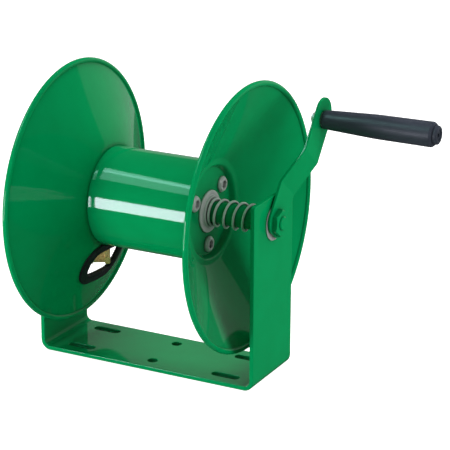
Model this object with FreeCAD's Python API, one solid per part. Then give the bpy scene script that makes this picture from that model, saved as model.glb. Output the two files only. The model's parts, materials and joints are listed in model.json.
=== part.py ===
"""Base-mounted hand-crank garden hose reel, written as one STEP file per physical piece.

Frame: +X along the spool's axis towards the crank, +Y to the back, +Z up.
Origin: centre of the bracket's underside. All sizes are in millimetres.
"""
import FreeCAD, Part
import math
import os

V = FreeCAD.Vector
X_AXIS = V(1, 0, 0)
Z_AXIS = V(0, 0, 1)

# --- driving dimensions ---------------------------------------------------------------
AXIS_Z = 184.6              # spool axis above the underside of the base

PLATE = 4.8                 # bracket plate, 3/16 in
BRACKET_HALF = 137.9        # half the bracket's outer length
BRACKET_W = 95.0            # plate width, front to back
BRACKET_H = 214.3           # height of both uprights
BEND_IN = 7.0               # inside radius of the two bends
TOP_CORNER_R = 4.0          # rounded corners at the top of the uprights
SLOT_X, SLOT_Y = 94.0, 28.5     # centres of the four slots
SLOT_LEN, SLOT_W = 34.0, 10.5
ROUND_HOLE_R = 5.75         # two round holes half way along the base

DISC_R = 152.4              # 12 in spun discs
SHEET = 1.5                 # disc sheet
BEAD_R = 3.3                # rolled bead on the disc rim
SPOOL_X = -2.2              # middle of the spool; the drag spring pushes it to the left
RIM_OFF = 111.1             # rim plane from the spool's middle
DRUM_OFF = 64.1             # drum end from the spool's middle
FLOOR_OFF = 57.7            # inner face of the disc's pressed floor, from the middle
FLOOR_R, RECESS_R = 50.3, 54.3  # foot and top of the pressed recess
CONE_R = 60.0               # radius where the flared cone starts
CONE_BEND_R = 10.0          # easy bend between the drum's seat and the cone
DRUM_R = 57.15              # drum, 4.5 in outside
DRUM_WALL = 1.6
DISC_BORE_R = 14.0

HUB_PLATE_T, HUB_PLATE_R = 4.0, 48.0
TIE_PCR = 38.0              # radius of the three tie bolts
TIE_ANGLES = (38.0, 152.0, 268.0)   # degrees from +Y towards +Z
TIE_R = 4.0
TIE_HEAD_R, TIE_HEAD_H = 9.2, 4.2
TIE_SOCKET_AF, TIE_SOCKET = 9.0, 3.0
TIE_NUT_AF, TIE_NUT_H = 13.0, 6.5
TIE_WASHER_R, TIE_WASHER_T = 8.0, 1.6

SHAFT_R = 12.7              # both stub shafts, 1 in
RUN = 0.05                  # radial clearance of a running fit
GAP = 0.3                   # gap between faces that turn against each other
BUSH_R, BUSH_FLANGE_R, BUSH_FLANGE_T = 16.0, 21.0, 2.5

SPRING_WIRE, SPRING_MEAN_R = 3.0, 15.0
SPRING_TURNS = 5.5
SPRING_START = 140.0        # the left-hand coil starts here, degrees from straight down towards the back
SEAT_R, SEAT_T = 24.0, 2.4      # flange of the stepped spring seat
SEAT_BOSS_R, SEAT_BOSS_T = 18.0, 3.0
THRUST_T = 1.5

CRANK_TILT = 38.0           # crank at rest, degrees from upright towards the back
CRANK_THROW = 127.0         # shaft to grip, 5 in
CRANK_W, CRANK_T = 40.0, 3.1
CRANK_TAIL = 15.5           # arm's end beyond the shaft
CRANK_TAIL_R = 15.0
CRANK_TIP = 131.8           # centre of the arm's round outer end
JOG_START, JOG_END, JOG_OUT = 41.7, 82.2, 16.4
CRANK_WASHER_R, CRANK_WASHER_T = 20.4, 1.2
CRANK_SEAT_R, CRANK_FLATS = 9.525, 15.9
CRANK_NUT_AF, CRANK_NUT_H = 27.0, 6.0
SHAFT_END = 2.2             # thread that stands out of the crank nut

GRIP_LEN = 131.0
GRIP_START_R, GRIP_SWELL_R, GRIP_END_R = 10.7, 13.6, 14.1
GRIP_BOLT_R, GRIP_BOLT_RUN = 4.75, 0.07
GRIP_HEAD_R, GRIP_HEAD_H = 7.6, 5.0
GRIP_POCKET_R, GRIP_POCKET = 8.6, 9.0
GRIP_WASHER_R, GRIP_WASHER_T = 8.5, 1.2
GRIP_NUT_AF, GRIP_NUT_H, GRIP_NUT_DOME = 14.3, 6.0, 3.0
CAP_R, CAP_T, CAP_HOLE_R = 10.6, 5.0, 2.2

HOSE_HOLE_ANGLE = -92.5     # middle of the hose hole, degrees from +Y towards +Z
HOSE_HOLE_HALF_W = 32.5
HOSE_HOLE_IN, HOSE_HOLE_OUT = 61.0, 95.0
HOSE_HOLE_CORNER = 15.0
TRIM_OVER, TRIM_LIP, TRIM_SIDE = 10.0, 2.5, 2.6
TRIM_BOTTOM = 58.2          # the trim stops here, just clear of the drum

COLLAR_R, COLLAR_T = 19.0, 6.0
COLLAR_SCREW_R = 2.5
SPINDLE_BORE_R = 5.5
BLOCK_HALF, BLOCK_LEN = 16.0, 24.0      # square manifold block on the spindle
BLOCK_DROP = 18.0
OUTLET_R_FROM_AXIS = 78.6   # outlet's axis below the spool's axis
OUTLET_TURN = 30.0          # the outlet leans this many degrees from +X towards +Y
RISER_R, RISER_BORE_R = 8.5, 6.3
ELBOW_R, ELBOW_BEND_R = 10.5, 11.0
ELBOW_SOCKET, ELBOW_MOUTH = 18.0, 15.0  # reach up to the riser and out to the coupling
ELBOW_BEAD, ELBOW_BEAD_T = 1.2, 3.0
SOCKET_DEPTH = 6.0
OUTLET_REACH = 35.0         # riser's middle to the coupling's face
OUTLET_HEX_AF, OUTLET_HEX_T = 21.0, 6.0
OUTLET_SLEEVE_R = 10.2      # round part between the elbow and the hexagon
OUTLET_NECK_R, OUTLET_BORE_R, OUTLET_DEPTH = 7.9, 6.7, 17.0

SWIVEL_R, SWIVEL_END_R = 16.0, 9.525
SWIVEL_LEN = 36.0           # bearing body of the inlet elbow
CHAMBER_R, CHAMBER_LEN = 12.0, 22.0
SEAL_R, SEAL_MEAN_R = 1.2, 8.3
INLET_R, INLET_BORE_R, INLET_DEPTH, INLET_DROP = 15.0, 10.5, 16.0, 38.0
PLUG_AF, PLUG_T = 22.0, 5.5
CLIP_R, CLIP_T = 11.3, 1.3

# --- places along the axis, worked out from the sizes above ------------------------------
WALL_IN = BRACKET_HALF - PLATE
FLANGE_IN = WALL_IN - BUSH_FLANGE_T
RIGHT_FLOOR = SPOOL_X + FLOOR_OFF + SHEET       # outer face of the right disc's floor
LEFT_FLOOR = SPOOL_X - FLOOR_OFF - SHEET
SEAT_FACE = RIGHT_FLOOR + SEAT_T + SEAT_BOSS_T
THRUST_X = FLANGE_IN - GAP - THRUST_T
SHOULDER_X = BRACKET_HALF + GAP                 # where the crank washer starts
ARM_X = SHOULDER_X + CRANK_WASHER_T             # inner face of the crank arm at the shaft
NUT_X = ARM_X + CRANK_T
GRIP_ARM_X = ARM_X + JOG_OUT                    # inner face of the crank arm at the grip
GRIP_WASHER_X = GRIP_ARM_X + CRANK_T
GRIP_X = GRIP_WASHER_X + GRIP_WASHER_T + GAP
GRIP_END = GRIP_X + GRIP_LEN
COLLAR_X = -(FLANGE_IN - GAP - COLLAR_T)        # right face of the left collar
BLOCK_X = COLLAR_X + BLOCK_LEN
RISER_X = COLLAR_X + BLOCK_LEN / 2
SWIVEL_X = -(SHOULDER_X + GAP)                  # right face of the inlet elbow
SPINDLE_END = SWIVEL_X - 17.5
CHAMBER_X = SWIVEL_X - SWIVEL_LEN + CHAMBER_LEN
INLET_X = SWIVEL_X - SWIVEL_LEN + INLET_R


# --- shape helpers ----------------------------------------------------------------------
def rounded_wire(corners):
    """Closed wire through (point, radius) corners, each rounded by a tangent arc."""
    stretches = []
    count = len(corners)
    for i, (point, radius) in enumerate(corners):
        to_last = corners[i - 1][0].sub(point)
        to_next = corners[(i + 1) % count][0].sub(point)
        to_last.normalize()
        to_next.normalize()
        if radius == 0:
            stretches.append((point, None, point))
            continue
        half = to_last.getAngle(to_next) / 2
        reach = radius / math.tan(half)
        middle = to_last.add(to_next)
        middle.normalize()
        crown = point.add(middle.multiply(radius / math.sin(half) - radius))
        stretches.append((point.add(to_last.multiply(reach)), crown, point.add(to_next.multiply(reach))))
    edges = []
    for i, (start, crown, end) in enumerate(stretches):
        before = stretches[i - 1][2]
        if before.sub(start).Length > 1e-6:
            edges.append(Part.LineSegment(before, start).toShape())
        if crown is not None:
            edges.append(Part.Arc(start, crown, end).toShape())
    return Part.Wire(edges)


def prism(corners, along):
    return Part.Face(rounded_wire(corners)).extrude(along)


def turned(profile, z=AXIS_Z, y=0.0):
    """Solid of revolution about the line along X at (y, z), from (x, r, corner radius) points."""
    corners = [(V(x, y, z + r), radius) for x, r, radius in profile]
    return Part.Face(rounded_wire(corners)).revolve(V(0, y, z), X_AXIS, 360)


def rod(x0, x1, radius, y=0.0, z=AXIS_Z):
    return Part.makeCylinder(radius, x1 - x0, V(x0, y, z), X_AXIS)


def tube(x0, x1, outer, inner, y=0.0, z=AXIS_Z):
    return rod(x0, x1, outer, y, z).cut(rod(x0, x1, inner, y, z))


def post(z0, z1, radius, x, y=0.0):
    return Part.makeCylinder(radius, z1 - z0, V(x, y, z0), Z_AXIS)


def hexagon(x0, x1, across_flats, y=0.0, z=AXIS_Z, chamfer=0.0):
    """Hexagonal prism along X; chamfer rounds off both ends' corners at 30 degrees."""
    corner = across_flats / math.sqrt(3)
    points = [V(x0, y + corner * math.cos(math.radians(60 * k)),
                z + corner * math.sin(math.radians(60 * k))) for k in range(6)]
    body = Part.Face(Part.makePolygon(points + points[:1])).extrude(V(x1 - x0, 0, 0))
    if chamfer:
        drop = chamfer * math.tan(math.radians(30))
        barrel = turned([(x0, 0, 0), (x0, corner - chamfer, 0), (x0 + drop, corner, 0),
                         (x1 - drop, corner, 0), (x1, corner - chamfer, 0), (x1, 0, 0)], z, y)
        body = body.common(barrel)
    return body


def at_tie_bolts(make):
    """Three copies of make(y, z), one at each tie bolt."""
    return Part.makeCompound([
        make(TIE_PCR * math.cos(math.radians(a)), AXIS_Z + TIE_PCR * math.sin(math.radians(a)))
        for a in TIE_ANGLES])


def tie_holes(x0, x1):
    return at_tie_bolts(lambda y, z: rod(x0, x1, TIE_R, y, z))


def tilt_crank(shape):
    """Swing a piece drawn with the crank upright to the crank's rest angle."""
    shape.rotate(V(0, 0, AXIS_Z), X_AXIS, -CRANK_TILT)
    return shape


# --- bracket and its bushes ---------------------------------------------------------------
def frame_bracket():
    a, h, t = BRACKET_HALF, BRACKET_H, PLATE
    out = BEND_IN + t
    outline = [(-a, h, 0), (-a, 0, out), (a, 0, out), (a, h, 0),
               (a - t, h, 0), (a - t, t, BEND_IN), (-a + t, t, BEND_IN), (-a + t, h, 0)]
    bracket = prism([(V(x, -BRACKET_W / 2, z), r) for x, z, r in outline], V(0, BRACKET_W, 0))
    side = [(-BRACKET_W / 2, 0, 0), (BRACKET_W / 2, 0, 0),
            (BRACKET_W / 2, h, TOP_CORNER_R), (-BRACKET_W / 2, h, TOP_CORNER_R)]
    bracket = bracket.common(prism([(V(-a, y, z), r) for y, z, r in side], V(2 * a, 0, 0)))
    for sx in (-1, 1):
        for sy in (-1, 1):
            bracket = bracket.cut(base_slot(sx * SLOT_X, sy * SLOT_Y))
    for sy in (-1, 1):
        bracket = bracket.cut(post(-1, t + 1, ROUND_HOLE_R, 0, sy * SLOT_Y))
    return bracket.cut(rod(-a - 1, a + 1, BUSH_R))


def base_slot(x, y):
    """Cutter for one slot with round ends, running along X."""
    half, r = SLOT_LEN / 2, SLOT_W / 2
    corners = [(x - half, y - r), (x + half, y - r), (x + half, y + r), (x - half, y + r)]
    return prism([(V(px, py, -1), r - 0.001) for px, py in corners], V(0, 0, PLATE + 2))


def flanged_bush(side):
    """Bush pressed into one upright, with its flange on the inside."""
    inner = SHAFT_R + RUN
    near, wall, outside = side * FLANGE_IN, side * WALL_IN, side * BRACKET_HALF
    return turned([(near, inner, 0), (near, BUSH_FLANGE_R, 0.6), (wall, BUSH_FLANGE_R, 0),
                   (wall, BUSH_R, 0), (outside, BUSH_R, 0), (outside, inner, 0)])


# --- spool ----------------------------------------------------------------------------
def disc_profile(grow_in, grow_out):
    """Half section of a disc's sheet as (offset, radius, bend) points, before mirroring.

    The offset is measured from the spool's middle. The sheet's face towards the middle is
    moved back by grow_in, and its other face moved out by SHEET + grow_out.
    """
    line = [(FLOOR_OFF, DISC_BORE_R), (FLOOR_OFF, FLOOR_R), (DRUM_OFF, RECESS_R),
            (DRUM_OFF, CONE_R), (RIM_OFF - 0.4, DISC_R - BEAD_R)]
    bends = (0.0, 2.5, 2.5, CONE_BEND_R, 0.0)
    inner = offset_line(line, -grow_in)
    outer = offset_line(line, SHEET + grow_out)
    turn = (0, 1, -1, 1, 0)
    total = SHEET + grow_in + grow_out
    front = [(s, r, b) for (s, r), b in zip(inner, bends)]
    back = [(s, r, max(b - t * total, 0.5) if b else 0.0)
            for (s, r), b, t in zip(outer, bends, turn)]
    return front + back[::-1]


def offset_line(line, distance):
    """Points of an open polyline moved sideways by distance, mitred at its corners."""
    normals = []
    for (s0, r0), (s1, r1) in zip(line, line[1:]):
        length = math.hypot(s1 - s0, r1 - r0)
        normals.append(((r1 - r0) / length, -(s1 - s0) / length))
    moved = []
    for i, (s, r) in enumerate(line):
        first = normals[max(i - 1, 0)]
        last = normals[min(i, len(normals) - 1)]
        ns, nr = first[0] + last[0], first[1] + last[1]
        scale = distance * 2 / (ns * ns + nr * nr)
        moved.append((s + ns * scale, r + nr * scale))
    return moved


def plain_disc(side):
    sheet = turned([(SPOOL_X + side * s, r, b) for s, r, b in disc_profile(0.0, 0.0)])
    bead = Part.makeTorus(DISC_R - BEAD_R, BEAD_R, V(SPOOL_X + side * RIM_OFF, 0, AXIS_Z), X_AXIS)
    floor = SPOOL_X + side * (FLOOR_OFF + SHEET / 2)
    return sheet.fuse(bead).cut(tie_holes(floor - 2, floor + 2)).removeSplitter()


def hose_hole(grow, x0, x1):
    """Prism of the hose hole's rounded outline, grown by grow all round."""
    half = HOSE_HOLE_HALF_W + grow
    low, high = HOSE_HOLE_IN - grow, HOSE_HOLE_OUT + grow
    corner = HOSE_HOLE_CORNER + grow
    outline = [(-half, low), (half, low), (half, high), (-half, high)]
    shape = prism([(V(x0, r, AXIS_Z + w), corner) for w, r in outline], V(x1 - x0, 0, 0))
    shape.rotate(V(0, 0, AXIS_Z), X_AXIS, HOSE_HOLE_ANGLE)
    return shape


def left_disc():
    return plain_disc(-1).cut(hose_hole(0.0, -RIM_OFF, -SHEET))


def hose_hole_trim():
    """Rubber edging that wraps the cut edge of the hose hole on both faces of the disc."""
    thick = turned([(SPOOL_X - s, r, b) for s, r, b in disc_profile(TRIM_SIDE, TRIM_SIDE)])
    band = hose_hole(TRIM_OVER, -RIM_OFF, -SHEET).cut(hose_hole(-TRIM_LIP, -RIM_OFF, -SHEET))
    trim = thick.common(band).cut(rod(-RIM_OFF, 0, TRIM_BOTTOM)).cut(left_disc())
    return max(trim.Solids, key=lambda solid: solid.Volume)


def drum_tube():
    return tube(SPOOL_X - DRUM_OFF, SPOOL_X + DRUM_OFF, DRUM_R, DRUM_R - DRUM_WALL)


def hub_plate(side):
    face = SPOOL_X + side * FLOOR_OFF
    x0, x1 = sorted((face, face - side * HUB_PLATE_T))
    return tube(x0, x1, HUB_PLATE_R, SHAFT_R).cut(tie_holes(x0 - 1, x1 + 1))


def tie_bolts():
    end = LEFT_FLOOR - TIE_WASHER_T - TIE_NUT_H - 2.0

    def bolt(y, z):
        top = RIGHT_FLOOR + TIE_HEAD_H
        head = turned([(RIGHT_FLOOR, 0, 0), (RIGHT_FLOOR, TIE_HEAD_R, 0.4),
                       (RIGHT_FLOOR + TIE_HEAD_H / 2, TIE_HEAD_R, 1.2),
                       (top, TIE_HEAD_R - TIE_HEAD_H / 2, 0.8), (top, 0, 0)], z, y)
        socket = hexagon(top - TIE_SOCKET, top + 1, TIE_SOCKET_AF, y, z)
        return head.cut(socket).fuse(rod(end, RIGHT_FLOOR, TIE_R, y, z))

    return at_tie_bolts(bolt)


def tie_washers():
    return at_tie_bolts(lambda y, z: tube(LEFT_FLOOR - TIE_WASHER_T, LEFT_FLOOR, TIE_WASHER_R, TIE_R, y, z))


def tie_nuts():
    x1 = LEFT_FLOOR - TIE_WASHER_T
    x0 = x1 - TIE_NUT_H
    return at_tie_bolts(lambda y, z: hexagon(x0, x1, TIE_NUT_AF, y, z, 0.8).cut(rod(x0, x1, TIE_R, y, z)))


# --- crank side -------------------------------------------------------------------------
def right_shaft():
    """Stub shaft: full size through the bush, then a double-D seat and a threaded end."""
    start = SPOOL_X + FLOOR_OFF - HUB_PLATE_T - 3
    end = NUT_X + CRANK_NUT_H + SHAFT_END
    body = turned([(start, 0, 0), (start, SHAFT_R, 0.8), (SHOULDER_X, SHAFT_R, 0), (SHOULDER_X, 0, 0)])
    seat = rod(SHOULDER_X, NUT_X, CRANK_SEAT_R).common(double_d(SHOULDER_X, NUT_X))
    thread = turned([(NUT_X, 0, 0), (NUT_X, CRANK_FLATS / 2, 0), (end - 1.2, CRANK_FLATS / 2, 0),
                     (end, CRANK_FLATS / 2 - 1.2, 0), (end, 0, 0)])
    return body.fuse([tilt_crank(seat), thread])


def double_d(x0, x1):
    """Slab between the two flats of the crank's seat."""
    length = 2 * CRANK_SEAT_R
    return Part.makeBox(x1 - x0, CRANK_FLATS, length, V(x0, -CRANK_FLATS / 2, AXIS_Z - length / 2))


def spring_seat():
    step = RIGHT_FLOOR + SEAT_T
    return turned([(RIGHT_FLOOR, SHAFT_R, 0), (RIGHT_FLOOR, SEAT_R, 0.5), (step, SEAT_R, 1.2),
                   (step, SEAT_BOSS_R, 1.2), (SEAT_FACE, SEAT_BOSS_R, 1.0), (SEAT_FACE, SHAFT_R, 0)])


def drag_spring():
    """Left-hand compression spring between its seat and the thrust washer, its ends ground flat."""
    grind = SPRING_WIRE / 4
    length = THRUST_X - SEAT_FACE - SPRING_WIRE + 2 * grind
    helix = Part.makeHelix(length / SPRING_TURNS, length, SPRING_MEAN_R)
    wire = Part.Wire(Part.makeCircle(SPRING_WIRE / 2, V(SPRING_MEAN_R, 0, 0), V(0, 1, 0)))
    coil = Part.Wire(helix.Edges).makePipeShell([wire], True, True)
    coil.rotate(V(0, 0, 0), V(0, 1, 0), 90)
    coil = coil.mirror(V(0, 0, 0), V(0, 1, 0))
    coil.rotate(V(0, 0, 0), X_AXIS, SPRING_START)
    coil.translate(V(SEAT_FACE + SPRING_WIRE / 2 - grind, 0, AXIS_Z))
    return coil.common(rod(SEAT_FACE, THRUST_X, SPRING_MEAN_R + SPRING_WIRE))


def thrust_washer():
    return tube(THRUST_X, THRUST_X + THRUST_T, SEAT_BOSS_R, SHAFT_R)


def crank_washer():
    body = turned([(SHOULDER_X, 0, 0), (SHOULDER_X, CRANK_WASHER_R, 0.3),
                   (ARM_X, CRANK_WASHER_R, 0.3), (ARM_X, 0, 0)])
    seat = rod(SHOULDER_X, ARM_X, CRANK_SEAT_R).common(double_d(SHOULDER_X, ARM_X))
    return body.cut(tilt_crank(seat))


def crank_arm():
    """Flat bar with a double bend that carries the grip clear of the bracket."""
    far = CRANK_TIP + CRANK_W / 2
    z0 = AXIS_Z
    inner = [(ARM_X, -CRANK_TAIL, 0), (ARM_X, JOG_START, 9), (GRIP_ARM_X, JOG_END, 6), (GRIP_ARM_X, far, 0)]
    slant = math.atan2(JOG_OUT, JOG_END - JOG_START)
    shift = CRANK_T * math.tan(slant / 2)
    outer = [(NUT_X, -CRANK_TAIL, 0), (NUT_X, JOG_START - shift, 9 - CRANK_T),
             (GRIP_WASHER_X, JOG_END - shift, 6 + CRANK_T), (GRIP_WASHER_X, far, 0)]
    side = [(V(x, -CRANK_W / 2, z0 + s), r) for x, s, r in inner + outer[::-1]]
    bar = prism(side, V(0, CRANK_W, 0))
    half = CRANK_W / 2
    face = [(-half, -CRANK_TAIL, CRANK_TAIL_R), (half, -CRANK_TAIL, CRANK_TAIL_R),
            (half, far, half - 0.001), (-half, far, half - 0.001)]
    bar = bar.common(prism([(V(ARM_X - 1, y, z0 + s), r) for y, s, r in face], V(JOG_OUT + 10, 0, 0)))
    seat = rod(ARM_X - 1, NUT_X + 1, CRANK_SEAT_R).common(double_d(ARM_X - 1, NUT_X + 1))
    bar = bar.cut([seat, rod(GRIP_ARM_X - 1, GRIP_WASHER_X + 1, GRIP_BOLT_R, 0, z0 + CRANK_THROW)])
    return tilt_crank(bar)


def crank_nut():
    x1 = NUT_X + CRANK_NUT_H
    nut = hexagon(NUT_X, x1, CRANK_NUT_AF, chamfer=1.6)
    return tilt_crank(nut.cut(rod(NUT_X, x1, CRANK_FLATS / 2)))


def grip_bolt():
    """Shoulder bolt the grip turns on; its head sits in the grip's pocket."""
    z = AXIS_Z + CRANK_THROW
    head_x = GRIP_END - GRIP_POCKET + GAP
    start = GRIP_ARM_X - GRIP_NUT_H - GRIP_NUT_DOME - 1.0
    shank = turned([(start, 0, 0), (start, GRIP_BOLT_R - 0.8, 0), (start + 0.8, GRIP_BOLT_R, 0),
                    (head_x, GRIP_BOLT_R, 0), (head_x, 0, 0)], z)
    head = hexagon(head_x, head_x + GRIP_HEAD_H, GRIP_HEAD_R * math.sqrt(3), 0, z, 0.8)
    return tilt_crank(shank.fuse(head))


def grip_washer():
    z = AXIS_Z + CRANK_THROW
    return tilt_crank(tube(GRIP_WASHER_X, GRIP_WASHER_X + GRIP_WASHER_T, GRIP_WASHER_R, GRIP_BOLT_R, 0, z))


def grip_nut():
    """Lock nut behind the arm: a hexagon with a round collar for its nylon ring."""
    z = AXIS_Z + CRANK_THROW
    x1 = GRIP_ARM_X
    x0 = x1 - GRIP_NUT_H
    dome = turned([(x0, 0, 0), (x0 - GRIP_NUT_DOME, 0, 0), (x0 - GRIP_NUT_DOME, GRIP_NUT_AF / 2 - 0.9, 0.9),
                   (x0, GRIP_NUT_AF / 2 - 0.4, 0)], z)
    nut = hexagon(x0, x1, GRIP_NUT_AF, 0, z, 0.8).fuse(dome)
    return tilt_crank(nut.cut(rod(x0 - GRIP_NUT_DOME - 1, x1 + 1, GRIP_BOLT_R, 0, z)))


def grip():
    """Moulded grip: swells from the arm to its middle, then runs on to a rounded shoulder."""
    z = AXIS_Z + CRANK_THROW
    bore = GRIP_BOLT_R + GRIP_BOLT_RUN
    pocket = GRIP_END - GRIP_POCKET
    return tilt_crank(turned([
        (GRIP_X, bore, 0), (GRIP_X, GRIP_START_R, 1.5), (GRIP_X + 0.48 * GRIP_LEN, GRIP_SWELL_R, 150),
        (GRIP_END - 2.5, GRIP_END_R, 2.0), (GRIP_END, GRIP_END_R - 1.8, 1.0),
        (GRIP_END, GRIP_POCKET_R, 0), (pocket, GRIP_POCKET_R, 0), (pocket, bore, 0)], z))


def grip_end_cap():
    """Push-in plug that closes the grip's pocket, with a ringed face and a small hole."""
    z = AXIS_Z + CRANK_THROW
    root = GRIP_END - GRIP_POCKET + GAP + GRIP_HEAD_H + 0.6
    face = GRIP_END + CAP_T
    cap = turned([
        (root, GRIP_POCKET_R - 2.0, 0), (root, GRIP_POCKET_R, 0), (GRIP_END, GRIP_POCKET_R, 0),
        (GRIP_END, CAP_R, 0), (face, CAP_R, 2.2), (face, 6.4, 0.5), (face - 1.4, 5.6, 0),
        (face - 1.4, 0, 0), (GRIP_END, 0, 0), (GRIP_END, GRIP_POCKET_R - 2.0, 0)], z)
    return tilt_crank(cap.cut(rod(GRIP_END - 1, face, CAP_HOLE_R, 0, z)))


# --- water side ---------------------------------------------------------------------------
def left_spindle():
    """Hollow stub shaft that carries the water from the swivel to the manifold block."""
    start = SPOOL_X - FLOOR_OFF + HUB_PLATE_T + 3
    body = rod(-SHOULDER_X, start, SHAFT_R).fuse(rod(SPINDLE_END, -SHOULDER_X, SWIVEL_END_R))
    bore = rod(SPINDLE_END - 1, RISER_X + SPINDLE_BORE_R, SPINDLE_BORE_R)
    port = post(AXIS_Z - SHAFT_R - 1, AXIS_Z, SPINDLE_BORE_R - 0.5, RISER_X)
    cuts = [bore, port]
    for x in seal_places():
        cuts.append(tube(x - SEAL_R, x + SEAL_R, SWIVEL_END_R + 1, SEAL_MEAN_R - SEAL_R))
    x0 = clip_place()
    cuts.append(tube(x0, x0 + CLIP_T, SWIVEL_END_R + 1, SWIVEL_END_R - 1.2))
    return body.cut(cuts)


def seal_places():
    return (SWIVEL_X - 4.0, SWIVEL_X - 9.0)


def clip_place():
    return CHAMBER_X - GAP - CLIP_T


def swivel_seals():
    return Part.makeCompound([Part.makeTorus(SEAL_MEAN_R, SEAL_R - 0.02, V(x, 0, AXIS_Z), X_AXIS)
                              for x in seal_places()])


def swivel_clip():
    """Open retaining ring that keeps the inlet elbow on the spindle."""
    x0 = clip_place()
    ring = tube(x0, x0 + CLIP_T, CLIP_R, SWIVEL_END_R - 1.2)
    return ring.cut(Part.makeBox(CLIP_T, 5.0, CLIP_R, V(x0, -2.5, AXIS_Z)))


def left_collar():
    ring = turned([(COLLAR_X - COLLAR_T, SHAFT_R, 0), (COLLAR_X - COLLAR_T, COLLAR_R, 0.8),
                   (COLLAR_X, COLLAR_R, 0.8), (COLLAR_X, SHAFT_R, 0)])
    return ring.cut(post(AXIS_Z, AXIS_Z + COLLAR_R + 1, COLLAR_SCREW_R, COLLAR_X - COLLAR_T / 2))


def collar_screw():
    """Grub screw with a hexagon socket, just under flush with the collar."""
    x = COLLAR_X - COLLAR_T / 2
    screw = post(AXIS_Z + SHAFT_R, AXIS_Z + COLLAR_R - 0.8, COLLAR_SCREW_R, x)
    points = [V(x + 1.45 * math.cos(math.radians(60 * k)), 1.45 * math.sin(math.radians(60 * k)),
                AXIS_Z + COLLAR_R - 3.2) for k in range(6)]
    socket = Part.Face(Part.makePolygon(points + points[:1])).extrude(V(0, 0, 4))
    return screw.cut(socket)


def manifold_block():
    corners = [(-BLOCK_HALF, -BLOCK_DROP), (BLOCK_HALF, -BLOCK_DROP),
               (BLOCK_HALF, BLOCK_HALF), (-BLOCK_HALF, BLOCK_HALF)]
    block = prism([(V(COLLAR_X, y, AXIS_Z + z), 3.0) for y, z in corners], V(BLOCK_LEN, 0, 0))
    riser_socket = post(AXIS_Z - BLOCK_DROP, AXIS_Z - SHAFT_R - 1, RISER_R, RISER_X)
    port = post(AXIS_Z - SHAFT_R - 2, AXIS_Z, SPINDLE_BORE_R - 0.5, RISER_X)
    return block.cut([rod(COLLAR_X - 1, BLOCK_X + 1, SHAFT_R), riser_socket, port])


def riser_pipe():
    top = AXIS_Z - SHAFT_R - 1
    low = AXIS_Z - OUTLET_R_FROM_AXIS + ELBOW_SOCKET - SOCKET_DEPTH
    return post(low, top, RISER_R, RISER_X).cut(post(low, top, RISER_BORE_R, RISER_X))


def turn_outlet(shape):
    """Swing a piece drawn straight along +X from the riser to the way the outlet points."""
    shape.rotate(V(RISER_X, 0, 0), Z_AXIS, OUTLET_TURN)
    return shape


def elbow_run(radius, z):
    """Solid round bar that comes down the riser's line and bends to the outlet's line."""
    centre = V(RISER_X + ELBOW_BEND_R, 0, z + ELBOW_BEND_R)
    start = Part.Face(Part.Wire(Part.makeCircle(radius, V(RISER_X, 0, centre.z), Z_AXIS)))
    bend = start.revolve(centre, V(0, -1, 0), 90)
    return bend.fuse([post(centre.z, z + ELBOW_SOCKET, radius, RISER_X),
                      rod(centre.x, RISER_X + ELBOW_MOUTH, radius, 0, z)])


def outlet_elbow():
    """Right-angle fitting between the riser and the outlet coupling, with beaded mouths."""
    z = AXIS_Z - OUTLET_R_FROM_AXIS
    top, mouth = z + ELBOW_SOCKET, RISER_X + ELBOW_MOUTH
    bead = ELBOW_R + ELBOW_BEAD
    body = elbow_run(ELBOW_R, z).fuse([post(top - ELBOW_BEAD_T, top, bead, RISER_X),
                                       rod(mouth - ELBOW_BEAD_T, mouth, bead, 0, z)])
    body = body.cut([elbow_run(RISER_BORE_R, z), post(top - SOCKET_DEPTH, top, RISER_R, RISER_X),
                     rod(mouth - SOCKET_DEPTH, mouth, OUTLET_NECK_R, 0, z)])
    return turn_outlet(body)


def outlet_coupling():
    """Hexagon-ended nipple in the hose hole that the hose screws into."""
    z = AXIS_Z - OUTLET_R_FROM_AXIS
    start = RISER_X + ELBOW_MOUTH - SOCKET_DEPTH
    face = RISER_X + OUTLET_REACH
    body = rod(start, face - OUTLET_HEX_T, OUTLET_NECK_R, 0, z)
    body = body.fuse([rod(start + SOCKET_DEPTH, face - OUTLET_HEX_T, OUTLET_SLEEVE_R, 0, z),
                      hexagon(face - OUTLET_HEX_T, face, OUTLET_HEX_AF, 0, z, 1.0)])
    body = body.cut(rod(start - 1, face, SPINDLE_BORE_R, 0, z))
    return turn_outlet(body.cut(rod(face - OUTLET_DEPTH, face, OUTLET_BORE_R, 0, z)))


def inlet_elbow():
    """Swivel body that stays still while the spool turns; its threaded port points down."""
    end = SWIVEL_X - SWIVEL_LEN
    low = AXIS_Z - INLET_DROP
    body = turned([(end, 0, 0), (end, SWIVEL_R, 1.5), (SWIVEL_X, SWIVEL_R, 1.5), (SWIVEL_X, 0, 0)])
    body = body.fuse([post(low, AXIS_Z, INLET_R, INLET_X), post(low, low + 7, INLET_R + 2, INLET_X)])
    for passage in (rod(CHAMBER_X - 1, SWIVEL_X + 1, SWIVEL_END_R + RUN),
                    rod(end - 1, CHAMBER_X, CHAMBER_R),
                    post(low, AXIS_Z, INLET_BORE_R - 3, INLET_X),
                    post(low - 1, low + INLET_DEPTH, INLET_BORE_R, INLET_X)):
        body = body.cut(passage)
    return body


def inlet_plug():
    """Screwed plug that closes the outer end of the swivel's chamber."""
    end = SWIVEL_X - SWIVEL_LEN
    return rod(end, end + 3.0, CHAMBER_R).fuse(hexagon(end - PLUG_T, end, PLUG_AF, chamfer=1.4))


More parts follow.
